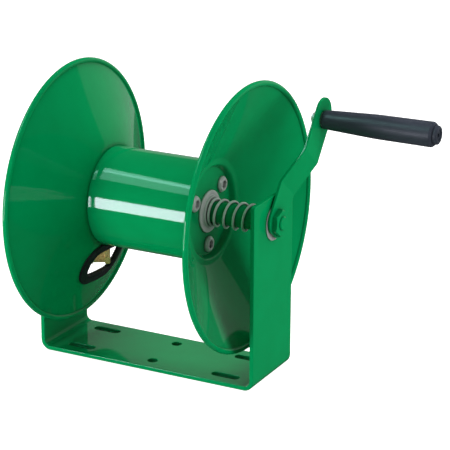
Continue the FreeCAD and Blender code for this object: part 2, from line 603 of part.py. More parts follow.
PARTS = {
    "frame_bracket": frame_bracket,
    "left_bush": lambda: flanged_bush(-1),
    "right_bush": lambda: flanged_bush(1),
    "drum_tube": drum_tube,
    "left_disc": left_disc,
    "right_disc": lambda: plain_disc(1),
    "hose_hole_trim": hose_hole_trim,
    "left_hub_plate": lambda: hub_plate(-1),
    "right_hub_plate": lambda: hub_plate(1),
    "tie_bolts": tie_bolts,
    "tie_washers": tie_washers,
    "tie_nuts": tie_nuts,
    "right_shaft": right_shaft,
    "spring_seat": spring_seat,
    "drag_spring": drag_spring,
    "thrust_washer": thrust_washer,
    "crank_washer": crank_washer,
    "crank_arm": crank_arm,
    "crank_nut": crank_nut,
    "grip_bolt": grip_bolt,
    "grip_washer": grip_washer,
    "grip_nut": grip_nut,
    "grip": grip,
    "grip_end_cap": grip_end_cap,
    "left_spindle": left_spindle,
    "left_collar": left_collar,
    "collar_screw": collar_screw,
    "manifold_block": manifold_block,
    "riser_pipe": riser_pipe,
    "outlet_elbow": outlet_elbow,
    "outlet_coupling": outlet_coupling,
    "inlet_elbow": inlet_elbow,
    "inlet_plug": inlet_plug,
    "swivel_seals": swivel_seals,
    "swivel_clip": swivel_clip,
}

os.makedirs("parts", exist_ok=True)
for name, make in PARTS.items():
    shape = make()
    print(f"{name:18s} valid={shape.isValid()} solids={len(shape.Solids)} volume={shape.Volume:.1f}")
    shape.exportStep(f"parts/{name}.step")
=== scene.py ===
"""Looks of a base-mounted hand-crank hose reel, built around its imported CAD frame.

Lengths are millimetres unless a name says otherwise, and meshes are scaled to metres when they
are written. The spool's axis runs along +X at height AXIS_Z, and the crank is at its right end.
"""
import json
import math

import bmesh
import bpy
from mathutils import Matrix, Vector


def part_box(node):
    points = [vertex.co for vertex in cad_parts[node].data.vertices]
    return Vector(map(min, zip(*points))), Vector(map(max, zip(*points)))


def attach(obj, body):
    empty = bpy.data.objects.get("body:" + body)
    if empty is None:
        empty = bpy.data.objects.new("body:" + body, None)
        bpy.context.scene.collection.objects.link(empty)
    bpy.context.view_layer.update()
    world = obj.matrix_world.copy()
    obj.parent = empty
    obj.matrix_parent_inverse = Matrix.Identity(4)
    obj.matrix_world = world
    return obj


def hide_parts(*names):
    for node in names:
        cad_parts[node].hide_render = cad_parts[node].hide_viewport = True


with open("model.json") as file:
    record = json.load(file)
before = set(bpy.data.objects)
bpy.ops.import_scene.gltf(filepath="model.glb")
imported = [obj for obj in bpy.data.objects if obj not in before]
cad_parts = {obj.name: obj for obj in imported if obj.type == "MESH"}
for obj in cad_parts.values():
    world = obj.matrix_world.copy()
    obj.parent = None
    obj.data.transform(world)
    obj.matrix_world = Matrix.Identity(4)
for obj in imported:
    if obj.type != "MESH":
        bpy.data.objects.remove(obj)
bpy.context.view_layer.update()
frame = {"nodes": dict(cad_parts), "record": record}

MM = 0.001
AXIS_Z = 184.6

# bracket
PLATE, PLATE_EDGE, BRACKET_HALF, BRACKET_W, BRACKET_H = 4.8, 0.7, 137.9, 95.0, 214.3
BEND_IN, TOP_CORNER_R, BUSH_R = 7.0, 4.0, 16.0
SLOT_X, SLOT_Y, SLOT_LEN, SLOT_W, ROUND_HOLE_R = 94.0, 28.5, 34.0, 10.5, 5.75

# spool
SPOOL_X, SHEET, DISC_R, BEAD_R = -2.2, 1.5, 152.4, 3.3
RIM_OFF, DRUM_OFF, FLOOR_OFF = 111.1, 64.1, 57.7
DISC_BORE_R, FLOOR_R, RECESS_R, CONE_R, CONE_BEND_R = 14.0, 50.3, 54.3, 60.0, 10.0
RECESS_BEND_R, BEAD_STEPS = 2.5, 28
RIM_LEAN = 0.4               # how far short of the bead's middle the cone's inner face would end
DRUM_R, DRUM_WALL = 57.15, 1.6
TIE_PCR, TIE_R, TIE_ANGLES = 38.0, 4.0, (38.0, 152.0, 268.0)
TIE_HEAD_R, TIE_HEAD_H, TIE_SOCKET_AF, TIE_SOCKET = 9.2, 4.2, 9.0, 3.0
HOLE_ANGLE, HOLE_HALF_W, HOLE_IN, HOLE_OUT, HOLE_CORNER = -92.5, 32.5, 61.0, 95.0, 15.0
TRIM_OVER, TRIM_LIP, TRIM_SIDE, TRIM_BOTTOM = 10.0, 2.5, 2.6, 58.2
TRIM_BULGE, TRIM_ROUND, TRIM_TAPER = 2.6, 1.4, 0.5

# spring and its washers
SEAT_H, SEAT_R, SEAT_T, BOSS_R = 5.4, 24.0, 2.4, 18.0
WIRE_R, COIL_R, COIL_PITCH = 1.5, 15.0, 11.75
THRUST_T, THRUST_R, CRANK_WASHER_R = 1.5, 18.0, 20.4
SHAFT_GAP = 0.05             # clearance of the rings on the shaft

# places along the axis
RIGHT_FLOOR = SPOOL_X + FLOOR_OFF + SHEET
SEAT_FACE = RIGHT_FLOOR + SEAT_H
THRUST_X = 128.8
SHOULDER_X = 138.2
ARM_X = 139.4
SHAFT_R = 12.7

# crank
CRANK_TILT, CRANK_THROW = 38.0, 127.0
CRANK_W, CRANK_T, CRANK_TAIL, CRANK_TAIL_R = 40.0, 3.1, 15.5, 15.0
JOG_START, JOG_END, JOG_OUT, CRANK_FAR = 41.7, 82.2, 16.4, 151.8
CRANK_SEAT_R, CRANK_FLATS = 9.525, 15.9
CRANK_EDGE, GRIP_HOLE_R = 0.6, 4.75
CRANK_BENDS = 9.0, 6.0       # radii of the disc-side face at the lower and the upper bend
NUT_AF, NUT_T = 27.0, 6.0
GRIP_X, GRIP_LEN = 160.4, 131.0
GRIP_START_R, GRIP_SWELL_R, GRIP_END_R, CAP_T = 10.7, 13.6, 14.1, 5.0
GRIP_BORE_R, POCKET_R, POCKET = 4.82, 8.6, 9.0


# --- drawing helpers ---------------------------------------------------------------------
def turn2(v, angle):
    c, s = math.cos(angle), math.sin(angle)
    return Vector((v.x * c - v.y * s, v.x * s + v.y * c))


def rounded(corners, closed=True, step=10.0, reach=0.0):
    """Points of a line through (u, v, radius) corners, each rounded by an arc.

    step is the most degrees an arc's chord spans, and reach, if given, the longest chord of a
    straight stretch.
    """
    points = []
    count = len(corners)
    for i, (u, v, radius) in enumerate(corners):
        here = Vector((u, v))
        if radius <= 0 or (not closed and i in (0, count - 1)):
            points.append(here)
            continue
        before = (Vector(corners[i - 1][:2]) - here).normalized()
        after = (Vector(corners[(i + 1) % count][:2]) - here).normalized()
        half = before.angle(after) / 2
        centre = here + (before + after).normalized() * (radius / math.sin(half))
        start = here + before * (radius / math.tan(half)) - centre
        end = here + after * (radius / math.tan(half)) - centre
        sweep = (math.pi - 2 * half) * (1 if start.cross(end) > 0 else -1)
        chords = max(2, math.ceil(abs(math.degrees(sweep)) / step))
        points += [centre + turn2(start, sweep * k / chords) for k in range(chords + 1)]
    if not reach:
        return points
    dense = []
    ends = points[1:] + points[:1] if closed else points[1:]
    for a, b in zip(points, ends):
        parts = max(1, math.ceil((b - a).length / reach))
        dense += [a.lerp(b, k / parts) for k in range(parts)]
    return dense if closed else dense + points[-1:]


def box_outline(low, high, half, corner, **spacing):
    """Rounded rectangle from low to high in u and half to each side in v."""
    return rounded([(low, -half, corner), (high, -half, corner),
                    (high, half, corner), (low, half, corner)], **spacing)


def circle(radius, u=0.0, v=0.0, count=64):
    return [Vector((u + radius * math.cos(2 * math.pi * k / count),
                    v + radius * math.sin(2 * math.pi * k / count))) for k in range(count)]


def lathe(profile, y=0.0, z=AXIS_Z, count=128):
    """Mesh turned about the line along X at (y, z) from (x, r) points.

    A profile that starts and ends on the axis is closed there; any other is joined end to end.
    """
    bm = bmesh.new()
    rings = []
    for x, r in profile:
        if r < 1e-6:
            rings.append([bm.verts.new((x, y, z))])
        else:
            rings.append([bm.verts.new((x, y + p.x, z + p.y)) for p in circle(r, count=count)])
    pairs = list(zip(rings, rings[1:]))
    if len(rings[0]) > 1 or len(rings[-1]) > 1:
        pairs.append((rings[-1], rings[0]))
    for a, b in pairs:
        for k in range(count):
            loop = [a[k % len(a)], a[(k + 1) % count % len(a)], b[(k + 1) % count % len(b)], b[k % len(b)]]
            corners = list(dict.fromkeys(loop))
            if len(corners) > 2:
                bm.faces.new(corners)
    return bm


def sweep(path, section, closed=False):
    """Mesh along path, a list of (centre, side, up) vectors, with a ring of section points at each."""
    bm = bmesh.new()
    rings = [[bm.verts.new(centre + side * s.x + up * s.y) for s in section] for centre, side, up in path]
    pairs = list(zip(rings, rings[1:]))
    if closed:
        pairs.append((rings[-1], rings[0]))
    count = len(section)
    for a, b in pairs:
        for k in range(count):
            bm.faces.new((a[k], a[(k + 1) % count], b[(k + 1) % count], b[k]))
    if not closed:
        bm.faces.new(rings[0])
        bm.faces.new(rings[-1])
    return bm


def plate(outline, holes, thickness, edge):
    """Flat plate in the (x, y) plane, half its thickness each way in z, its edges rounded by edge."""
    curve = bpy.data.curves.new("outline", "CURVE")
    curve.dimensions = "2D"
    curve.fill_mode = "BOTH"
    curve.extrude = thickness / 2 - edge
    curve.bevel_depth = edge
    curve.bevel_resolution = 2
    curve.offset = -edge
    for loop in [outline] + holes:
        spline = curve.splines.new("POLY")
        spline.points.add(len(loop) - 1)
        for point, (u, v) in zip(spline.points, loop):
            point.co = (u, v, 0, 1)
        spline.use_cyclic_u = True
    holder = bpy.data.objects.new("outline", curve)
    bpy.context.scene.collection.objects.link(holder)
    mesh = bpy.data.meshes.new_from_object(holder.evaluated_get(bpy.context.evaluated_depsgraph_get()))
    bm = bmesh.new()
    bm.from_mesh(mesh)
    bmesh.ops.remove_doubles(bm, verts=bm.verts[:], dist=1e-3)
    bpy.data.objects.remove(holder)
    bpy.data.curves.remove(curve)
    bpy.data.meshes.remove(mesh)
    return bm


def fold(bm, runs, place):
    """Bends a strip that lies along +x and starts at x = 0.

    runs are (length, turn) stretches along the strip's middle, with turn in radians to the side
    of +z, and place gives a vertex's position from (forward, across, sideways).
    """
    at = 0.0
    for length, turn in runs:
        cuts = max(1, math.ceil(abs(math.degrees(turn)) / 6)) if turn else 1
        for k in range(cuts + 1 if turn else 0):
            everything = bm.verts[:] + bm.edges[:] + bm.faces[:]
            bmesh.ops.bisect_plane(bm, geom=everything, plane_co=(at + length * k / cuts, 0, 0),
                                   plane_no=(1, 0, 0), dist=1e-5)
        at += length
    for vert in bm.verts:
        vert.co = place(*bent(vert.co, runs))


def bent(point, runs):
    x = y = heading = 0.0
    left = point.x
    for i, (length, turn) in enumerate(runs):
        part = left if i == len(runs) - 1 else min(left, length)
        if turn:
            radius = length / turn
            x -= radius * math.sin(heading)
            y += radius * math.cos(heading)
            heading += part / radius
            x += radius * math.sin(heading)
            y -= radius * math.cos(heading)
        else:
            x += part * math.cos(heading)
            y += part * math.sin(heading)
        left -= part
        if left <= 0 and i < len(runs) - 1:
            break
    return x - point.z * math.sin(heading), point.y, y + point.z * math.cos(heading)


def tilted(bm):
    """Swings a mesh drawn with the crank upright to the crank's rest angle."""
    matrix = Matrix.Rotation(math.radians(-CRANK_TILT), 3, "X")
    bmesh.ops.rotate(bm, cent=(0, 0, AXIS_Z), matrix=matrix, verts=bm.verts[:])
    return bm


def joined(parts):
    """One mesh from several."""
    bm = bmesh.new()
    for part in parts:
        scratch = bpy.data.meshes.new("scratch")
        part.to_mesh(scratch)
        part.free()
        bm.from_mesh(scratch)
        bpy.data.meshes.remove(scratch)
    return bm


def prism(outline, x0, x1):
    """Closed mesh of an outline in the (y, z) plane between two places along X."""
    bm = bmesh.new()
    rings = [[bm.verts.new((x, u, v)) for u, v in outline] for x in (x0, x1)]
    for ring in rings:
        bm.faces.new(ring)
    count = len(outline)
    for k in range(count):
        a, b = k, (k + 1) % count
        bm.faces.new((rings[0][a], rings[0][b], rings[1][b], rings[1][a]))
    bmesh.ops.recalc_face_normals(bm, faces=bm.faces[:])
    return bm


def raw_object(name, bm, scale=1.0):
    mesh = bpy.data.meshes.new(name)
    bmesh.ops.scale(bm, vec=(scale, scale, scale), verts=bm.verts[:])
    bmesh.ops.recalc_face_normals(bm, faces=bm.faces[:])
    bm.to_mesh(mesh)
    bm.free()
    obj = bpy.data.objects.new(name, mesh)
    bpy.context.scene.collection.objects.link(obj)
    return obj


def carve(bm, cutter, how="DIFFERENCE"):
    """bm after a boolean with the mesh cutter."""
    target, tool = raw_object("target", bm), raw_object("tool", cutter)
    modifier = target.modifiers.new("carve", "BOOLEAN")
    modifier.operation = how
    modifier.solver = "EXACT"
    modifier.object = tool
    mesh = bpy.data.meshes.new_from_object(target.evaluated_get(bpy.context.evaluated_depsgraph_get()))
    out = bmesh.new()
    out.from_mesh(mesh)
    for obj in (target, tool):
        bpy.data.meshes.remove(obj.data)
    bpy.data.meshes.remove(mesh)
    return out


def soften(bm, width, angle=30.0, segments=2):
    """Rounds every edge that is sharper than angle."""
    limit = math.radians(angle)
    sharp = [e for e in bm.edges if len(e.link_faces) == 2 and e.calc_face_angle(0) > limit]
    bmesh.ops.bevel(bm, geom=sharp, offset=width, segments=segments, profile=0.5,
                    affect="EDGES", clamp_overlap=True)
    return bm


def piece(name, bm, body, slot, finish, *nodes, crease=35.0):
    """Puts a finished mesh on its body with its material, in place of the CAD nodes it stands for."""
    obj = raw_object(name, bm, MM)
    mesh = obj.data
    mesh.polygons.foreach_set("use_smooth", [True] * len(mesh.polygons))
    mesh.set_sharp_from_angle(angle=math.radians(crease))
    even = obj.modifiers.new("even normals", "WEIGHTED_NORMAL")
    even.keep_sharp = True
    even.weight = 80
    mesh.materials.append(finish)
    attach(obj, body)
    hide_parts(*nodes)


def refined(node, width):
    """Finer copy of a CAD node's mesh with its sharp edges softened, in millimetres."""
    bm = bmesh.new()
    bm.from_mesh(frame["nodes"][node].data)
    bmesh.ops.scale(bm, vec=(1 / MM, 1 / MM, 1 / MM), verts=bm.verts[:])
    bmesh.ops.remove_doubles(bm, verts=bm.verts[:], dist=1e-3)
    bmesh.ops.dissolve_limit(bm, angle_limit=math.radians(0.6), verts=bm.verts[:], edges=bm.edges[:])
    return soften(bm, width) if width else bm


# --- finishes ------------------------------------------------------------------------------
class Finish:
    """Node material with helpers; every texture follows the piece's own object coordinates."""

    def __init__(self, name):
        self.material = bpy.data.materials.new(name)
        self.material.use_nodes = True
        self.tree = self.material.node_tree
        self.shader = self.tree.nodes["Principled BSDF"]
        self.place = self.tree.nodes.new("ShaderNodeTexCoord").outputs["Object"]
        self.normal = None

    def set(self, **values):
        for name, value in values.items():
            self.shader.inputs[name.replace("_", " ")].default_value = value

    def stretched(self, scale):
        node = self.tree.nodes.new("ShaderNodeMapping")
        node.inputs["Scale"].default_value = scale
        self.tree.links.new(self.place, node.inputs["Vector"])
        return node.outputs["Vector"]

    def noise(self, scale, detail=3.0, roughness=0.5, stretch=None):
        node = self.tree.nodes.new("ShaderNodeTexNoise")
        node.inputs["Scale"].default_value = scale
        node.inputs["Detail"].default_value = detail
        node.inputs["Roughness"].default_value = roughness
        source = self.stretched(stretch) if stretch else self.place
        self.tree.links.new(source, node.inputs["Vector"])
        return node.outputs["Fac"]

    def cells(self, scale):
        node = self.tree.nodes.new("ShaderNodeTexVoronoi")
        node.inputs["Scale"].default_value = scale
        self.tree.links.new(self.place, node.inputs["Vector"])
        return node.outputs["Distance"]

    def ramp(self, factor, low, high, start=0.35, end=0.65):
        """Colour or grey that goes from low to high as factor goes from start to end."""
        node = self.tree.nodes.new("ShaderNodeValToRGB")
        for element, spot, value in zip(node.color_ramp.elements, (start, end), (low, high)):
            element.position = spot
            element.color = (*value, 1.0) if isinstance(value, tuple) else (value, value, value, 1.0)
        self.tree.links.new(factor, node.inputs["Fac"])
        return node.outputs["Color"]

    def with_painted_shade(self, colour, reach_mm, share):
        """The colour with painted shade: darker by up to share where other surfaces stand within reach_mm
        of it, as an ambient-occlusion node darkens creases, hollows and contacts.
        """
        occlusion_shade = self.tree.nodes.new("ShaderNodeAmbientOcclusion")
        occlusion_shade.samples = 8
        occlusion_shade.inputs["Distance"].default_value = reach_mm * MM
        self.tree.links.new(colour, occlusion_shade.inputs["Color"])
        mix = self.tree.nodes.new("ShaderNodeMixRGB")
        mix.inputs["Fac"].default_value = share
        self.tree.links.new(colour, mix.inputs["Color1"])
        self.tree.links.new(occlusion_shade.outputs["Color"], mix.inputs["Color2"])
        return mix.outputs["Color"]

    def link(self, name, output):
        self.tree.links.new(output, self.shader.inputs[name])

    def bump(self, height, depth_mm):
        """Adds a bump of depth_mm to the surface, on top of any before it."""
        node = self.tree.nodes.new("ShaderNodeBump")
        node.inputs["Strength"].default_value = 1.0
        node.inputs["Distance"].default_value = depth_mm * MM
        self.tree.links.new(height, node.inputs["Height"])
        if self.normal:
            self.tree.links.new(self.normal, node.inputs["Normal"])
        self.normal = node.outputs["Normal"]
        self.link("Normal", self.normal)


def green_paint():
    """Glossy powder coat: a deep green with the faint waviness of a baked film."""
    paint = Finish("green_powder_coat")
    colour = paint.ramp(paint.noise(38, 4), (0.0, 0.298, 0.09), (0.0, 0.313, 0.096))
    # Painted shade: the base colour darkens by up to 0.7 within 30 mm of other surfaces, at the discs'
    # corners by the drum, in the recess and between parts.
    paint.link("Base Color", paint.with_painted_shade(colour, 30, 0.7))
    paint.link("Roughness", paint.ramp(paint.noise(160, 3), 0.45, 0.55))
    paint.set(Specular_IOR_Level=0.0, Coat_Weight=1.0, Coat_Roughness=0.06, Coat_IOR=1.35)
    paint.bump(paint.noise(420, 2, 0.4), 0.008)
    paint.bump(paint.noise(1500, 1, 0.5), 0.002)
    return paint.material


def zinc():
    """Bright zinc plate with a fine turned grain and slightly cloudy chromate."""
    metal = Finish("bright_zinc_plate")
    metal.set(Metallic=0.6)
    colour = metal.ramp(metal.noise(60, 3), (0.88, 0.89, 0.89), (0.96, 0.96, 0.95))
    # Painted shade: the base colour darkens fully within 6 mm of other surfaces, deepening the bolts'
    # sockets and the rings' contacts.
    metal.link("Base Color", metal.with_painted_shade(colour, 6, 1.0))
    metal.link("Roughness", metal.ramp(metal.noise(90, 3), 0.30, 0.36))
    metal.bump(metal.noise(500, 2, 0.5, stretch=(3, 1, 1)), 0.003)
    return metal.material


def brass(name, low, high, rough_low, rough_high, grain, depth):
    metal = Finish(name)
    metal.set(Metallic=0.6)
    metal.link("Base Color", metal.ramp(metal.noise(90, 5), low, high))
    metal.link("Roughness", metal.ramp(metal.noise(300, 3), rough_low, rough_high))
    metal.bump(metal.noise(grain, 4, 0.6), depth)
    return metal.material


def black_oxide():
    metal = Finish("black_oxide")
    metal.set(Metallic=0.85)
    metal.link("Base Color", metal.ramp(metal.noise(220, 4), (0.022, 0.022, 0.025), (0.05, 0.048, 0.046)))
    metal.link("Roughness", metal.ramp(metal.noise(400, 3), 0.35, 0.5))
    metal.bump(metal.noise(1200, 2), 0.006)
    return metal.material


def rubber():
    """Matt extruded rubber with a fine pebbled skin."""
    skin = Finish("black_rubber")
    skin.set(Specular_IOR_Level=0.4)
    skin.link("Base Color", skin.ramp(skin.noise(180, 4), (0.008, 0.009, 0.012), (0.021, 0.022, 0.027)))
    skin.link("Roughness", skin.ramp(skin.noise(500, 3), 0.48, 0.66))
    skin.bump(skin.cells(900), 0.09)
    return skin.material


def grip_plastic():
    """Charcoal moulded plastic with a satin spark-eroded grain and faint flow lines along it."""
    skin = Finish("charcoal_grip_plastic")
    skin.set(Specular_IOR_Level=0.45)
    skin.link("Base Color", skin.ramp(skin.noise(26, 5, 0.6, stretch=(0.35, 2.2, 2.2)),
                                      (0.020, 0.025, 0.036), (0.044, 0.053, 0.074)))
    skin.link("Roughness", skin.ramp(skin.noise(70, 4, stretch=(0.3, 2.0, 2.0)), 0.36, 0.5))
    skin.bump(skin.noise(1300, 2, 0.5), 0.014)
    skin.bump(skin.noise(60, 3, 0.5, stretch=(0.25, 2.5, 2.5)), 0.03)
    return skin.material


def nylon():
    skin = Finish("natural_nylon")
    skin.link("Base Color", skin.ramp(skin.noise(150, 3), (0.66, 0.63, 0.55), (0.76, 0.74, 0.67)))
    skin.link("Roughness", skin.ramp(skin.noise(400, 2), 0.38, 0.52))
    skin.set(Subsurface_Weight=0.15, Subsurface_Scale=0.002)
    skin.bump(skin.noise(1000, 2), 0.006)
    return skin.material


GREEN, ZINC, OXIDE, RUBBER, GRIP, NYLON = (
    green_paint(), zinc(), black_oxide(), rubber(), grip_plastic(), nylon())
BRASS = brass("machined_brass", (0.78, 0.55, 0.20), (0.92, 0.68, 0.30), 0.2, 0.38, 700, 0.01)
CAST_BRASS = brass("cast_brass", (0.66, 0.46, 0.17), (0.80, 0.58, 0.25), 0.38, 0.55, 420, 0.06)


# --- bracket ---------------------------------------------------------------------------------
def frame_bracket():
    """Plate cut flat with its holes, then folded to a U along its middle surface."""
    bend_out = BEND_IN + PLATE
    arc = math.pi / 2 * (BEND_IN + PLATE / 2)
    upright = BRACKET_H - bend_out
    base = 2 * (BRACKET_HALF - bend_out)
    total = 2 * (upright + arc) + base
    half = BRACKET_W / 2
    outline = box_outline(0, total, half, TOP_CORNER_R)
    to_axis = BRACKET_H - AXIS_Z
    holes = [circle(BUSH_R, to_axis, 0, 96), circle(BUSH_R, total - to_axis, 0, 96)]
    r = SLOT_W / 2
    for sy in (-1, 1):
        holes.append(circle(ROUND_HOLE_R, total / 2, sy * SLOT_Y, 48))
        for sx in (-1, 1):
            u, v, reach = total / 2 + sx * SLOT_X, sy * SLOT_Y, SLOT_LEN / 2
            holes.append([p + Vector((0, v)) for p in box_outline(u - reach, u + reach, r, r - 0.01)])
    bm = plate(outline, holes, PLATE, PLATE_EDGE)
    middle = BRACKET_HALF - PLATE / 2
    fold(bm, [(upright, 0), (arc, math.pi / 2), (base, 0), (arc, math.pi / 2), (upright, 0)],
         lambda ahead, across, aside: Vector((aside - middle, across, BRACKET_H - ahead)))
    return bm


# --- spool -----------------------------------------------------------------------------------
def shifted(line, distance):
    """Open line of (s, r) points moved sideways by distance, mitred at its corners."""
    normals = []
    for (s0, r0), (s1, r1) in zip(line, line[1:]):
        length = math.hypot(s1 - s0, r1 - r0)
        normals.append(Vector(((r1 - r0) / length, -(s1 - s0) / length)))
    out = []
    for i, (s, r) in enumerate(line):
        both = normals[max(i - 1, 0)] + normals[min(i, len(normals) - 1)]
        step = both * (2 * distance / both.length_squared)
        out.append((s + step.x, r + step.y))
    return out


def disc(side):
    """Spun disc: pressed floor, recess wall, flared cone and a rim curled into a bead."""
    rim_r = DISC_R - BEAD_R
    line = [(FLOOR_OFF, DISC_BORE_R), (FLOOR_OFF, FLOOR_R), (DRUM_OFF, RECESS_R), (DRUM_OFF, CONE_R),
            (RIM_OFF - RIM_LEAN, rim_r)]
    bends, turns = (0.0, RECESS_BEND_R, RECESS_BEND_R, CONE_BEND_R, 0.0), (0, 1, -1, 1, 0)
    inner = [(s, r, b) for (s, r), b in zip(line, bends)]
    outer = [(s, r, max(b - t * SHEET, 0.5) if b else 0.0)
             for (s, r), b, t in zip(shifted(line, SHEET), bends, turns)]
    face = rounded(inner, closed=False, step=12, reach=5)
    back = rounded(outer, closed=False, step=12, reach=5)
    centre = Vector((RIM_OFF, rim_r))
    face = [p for p in face if (p - centre).length > BEAD_R]
    back = [p for p in back if (p - centre).length > BEAD_R]
    start = math.atan2(*(face_end(face, centre) - centre).yx)
    stop = math.atan2(*(face_end(back, centre) - centre).yx)
    span = (start - stop) % (2 * math.pi)
    bead = [centre + turn2(Vector((BEAD_R, 0)), start - span * k / BEAD_STEPS)
            for k in range(BEAD_STEPS + 1)]
    profile = [(SPOOL_X + side * p.x, p.y) for p in face + bead + back[::-1]]
    bm = lathe(profile, count=288)
    x0, x1 = sorted((SPOOL_X + side * (FLOOR_OFF - 2), SPOOL_X + side * (FLOOR_OFF + 4)))
    holes = [prism(circle(TIE_R, y, z, 32), x0, x1) for y, z in tie_places()]
    if side < 0:
        holes.append(prism(hole_outline(0.0), -RIM_OFF, -10))
    return carve(bm, joined(holes))


def tie_places():
    """(y, z) of each tie bolt's axis."""
    return [(TIE_PCR * math.cos(math.radians(a)), AXIS_Z + TIE_PCR * math.sin(math.radians(a)))
            for a in TIE_ANGLES]


def face_end(points, centre):
    """Where the sheet's face meets the bead's circle, a little inside its last free point."""
    last, before = points[-1], points[-2]
    along = (last - before).normalized()
    offset = last - centre
    b = offset.dot(along)
    return last + along * (-b - math.sqrt(max(b * b - offset.length_squared + BEAD_R ** 2, 0)))


def hole_outline(grow):
    """Outline of the hose hole in the (y, z) plane, grown by grow, as points."""
    half, low, high, corner = HOLE_HALF_W + grow, HOLE_IN - grow, HOLE_OUT + grow, HOLE_CORNER + grow
    flat = box_outline(low, high, half, corner, step=6, reach=2.5)
    return [turn2(p, math.radians(HOLE_ANGLE)) + Vector((0, AXIS_Z)) for p in flat]


def sheet_middle(radius):
    """Offset of the middle of the disc's sheet from the spool's middle, at a radius."""
    slope = (RIM_OFF - RIM_LEAN - DRUM_OFF) / (DISC_R - BEAD_R - CONE_R)
    lean = math.hypot(1, slope)
    return DRUM_OFF + max(radius - CONE_R, 0) * slope + SHEET / 2 * lean, slope


def hose_hole_trim():
    """Rubber edging run round the hole along the cone, with a bulged face and a groove at its edge."""
    outline = hole_outline((TRIM_OVER - TRIM_LIP) / 2)
    half_w, half_t = (TRIM_OVER + TRIM_LIP) / 2, SHEET / 2 + TRIM_SIDE
    narrow = half_t - TRIM_TAPER
    section = rounded([(-half_w, -half_t, TRIM_BULGE), (half_w, -narrow, TRIM_ROUND),
                       (half_w, narrow, TRIM_ROUND), (-half_w, half_t, TRIM_BULGE)], step=15)
    path = []
    count = len(outline)
    middle = sum(outline, Vector((0, 0))) / count
    for k, here in enumerate(outline):
        along = outline[(k + 1) % count] - outline[k - 1]
        radial = Vector((here.x, here.y - AXIS_Z))
        offset, slope = sheet_middle(radial.length)
        outward = radial.normalized()
        normal = Vector((-1, -slope * outward.x, -slope * outward.y)).normalized()
        tangent = Vector((-slope * outward.dot(along), along.x, along.y)).normalized()
        side = tangent.cross(normal)
        if side.yz.dot(here - middle) < 0:
            side = -side
        path.append((Vector((SPOOL_X - offset, here.x, here.y)), side, normal))
    bm = sweep(path, section, closed=True)
    for vert in bm.verts:
        radius = math.hypot(vert.co.y, vert.co.z - AXIS_Z)
        if radius < TRIM_BOTTOM:
            vert.co.y *= TRIM_BOTTOM / radius
            vert.co.z = AXIS_Z + (vert.co.z - AXIS_Z) * TRIM_BOTTOM / radius
    return bm


def drum_tube():
    ends = SPOOL_X - DRUM_OFF, SPOOL_X + DRUM_OFF
    inner = DRUM_R - DRUM_WALL
    profile = rounded([(ends[0], inner, 0.3), (ends[0], DRUM_R, 0.5),
                       (ends[1], DRUM_R, 0.5), (ends[1], inner, 0.3)], step=30, reach=12)
    return lathe(profile, count=256)


def hexagon(across_flats, y, z, turn=0.0):
    corner = across_flats / math.sqrt(3)
    return [Vector((y + corner * math.cos(math.radians(60 * k + turn)),
                    z + corner * math.sin(math.radians(60 * k + turn)))) for k in range(6)]


def tie_bolts():
    """Low button heads with hexagon sockets, on shanks that run through to the left disc."""
    top = RIGHT_FLOOR + TIE_HEAD_H
    end = frame_x("tie_bolts", 0)

    def bolt(y, z):
        profile = rounded([(end, 0, 0), (end, TIE_R - 0.7, 0), (end + 0.7, TIE_R, 0),
                           (RIGHT_FLOOR, TIE_R, 0), (RIGHT_FLOOR, TIE_HEAD_R, 0.4),
                           (RIGHT_FLOOR + TIE_HEAD_H / 2, TIE_HEAD_R, 1.4),
                           (top, TIE_HEAD_R - TIE_HEAD_H / 2, 1.0), (top, 0, 0)], closed=False, step=15)
        head = lathe([(p.x, p.y) for p in profile], y, z, 72)
        socket = prism(hexagon(TIE_SOCKET_AF, y, z, 15), top - TIE_SOCKET, top + 1)
        return soften(carve(head, socket), 0.25, 50)

    return joined([bolt(y, z) for y, z in tie_places()])


def frame_x(node, end):
    """Lowest (end 0) or highest (end 1) X of a CAD node, in millimetres."""
    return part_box(node)[end].x / MM


# --- crank side ------------------------------------------------------------------------------
def spring_seat():
    """Stepped ring: a wide flange on the disc's floor and a boss that the spring sits on."""
    step, bore = RIGHT_FLOOR + SEAT_T, SHAFT_R + SHAFT_GAP
    return lathe(rounded([(RIGHT_FLOOR, bore, 0), (RIGHT_FLOOR, SEAT_R, 0.6), (step, SEAT_R, 1.0),
                          (step, BOSS_R, 1.4), (SEAT_FACE, BOSS_R, 0.9), (SEAT_FACE, bore, 0.5)],
                         step=15), count=160)


def washer(x0, x1, outer, inner, edge=0.4):
    return lathe(rounded([(x0, inner, edge / 2), (x0, outer, edge),
                          (x1, outer, edge), (x1, inner, edge / 2)], step=20), count=128)


def drag_spring():
    """Left-hand coil with closed, ground ends: the pitch eases in and out over one turn."""
    closed_turns, closed_pitch, ease, steps = 0.6, 2.5, 1.0, 56
    start, stop = SEAT_FACE + WIRE_R / 2, THRUST_X - WIRE_R / 2
    ends = 2 * (closed_turns * closed_pitch + ease * (closed_pitch + COIL_PITCH) / 2)
    turns = 2 * (closed_turns + ease) + (stop - start - ends) / COIL_PITCH
    path = []
    x = start
    count = math.ceil(turns * steps)
    for k in range(count + 1):
        at = turns * k / count
        angle = math.pi + 2 * math.pi * (closed_turns - at)
        radial = Vector((0, math.cos(angle), math.sin(angle)))
        path.append((Vector((x, 0, AXIS_Z)) + radial * COIL_R, radial, Vector((1, 0, 0))))
        near = min(at, turns - at)
        rise = min(max((near - closed_turns) / ease, 0), 1)
        x += (closed_pitch + (COIL_PITCH - closed_pitch) * rise * rise * (3 - 2 * rise)) * turns / count
    bm = sweep(path, circle(WIRE_R, count=18))
    for vert in bm.verts:
        vert.co.x = min(max(vert.co.x, SEAT_FACE), THRUST_X)
    return bm


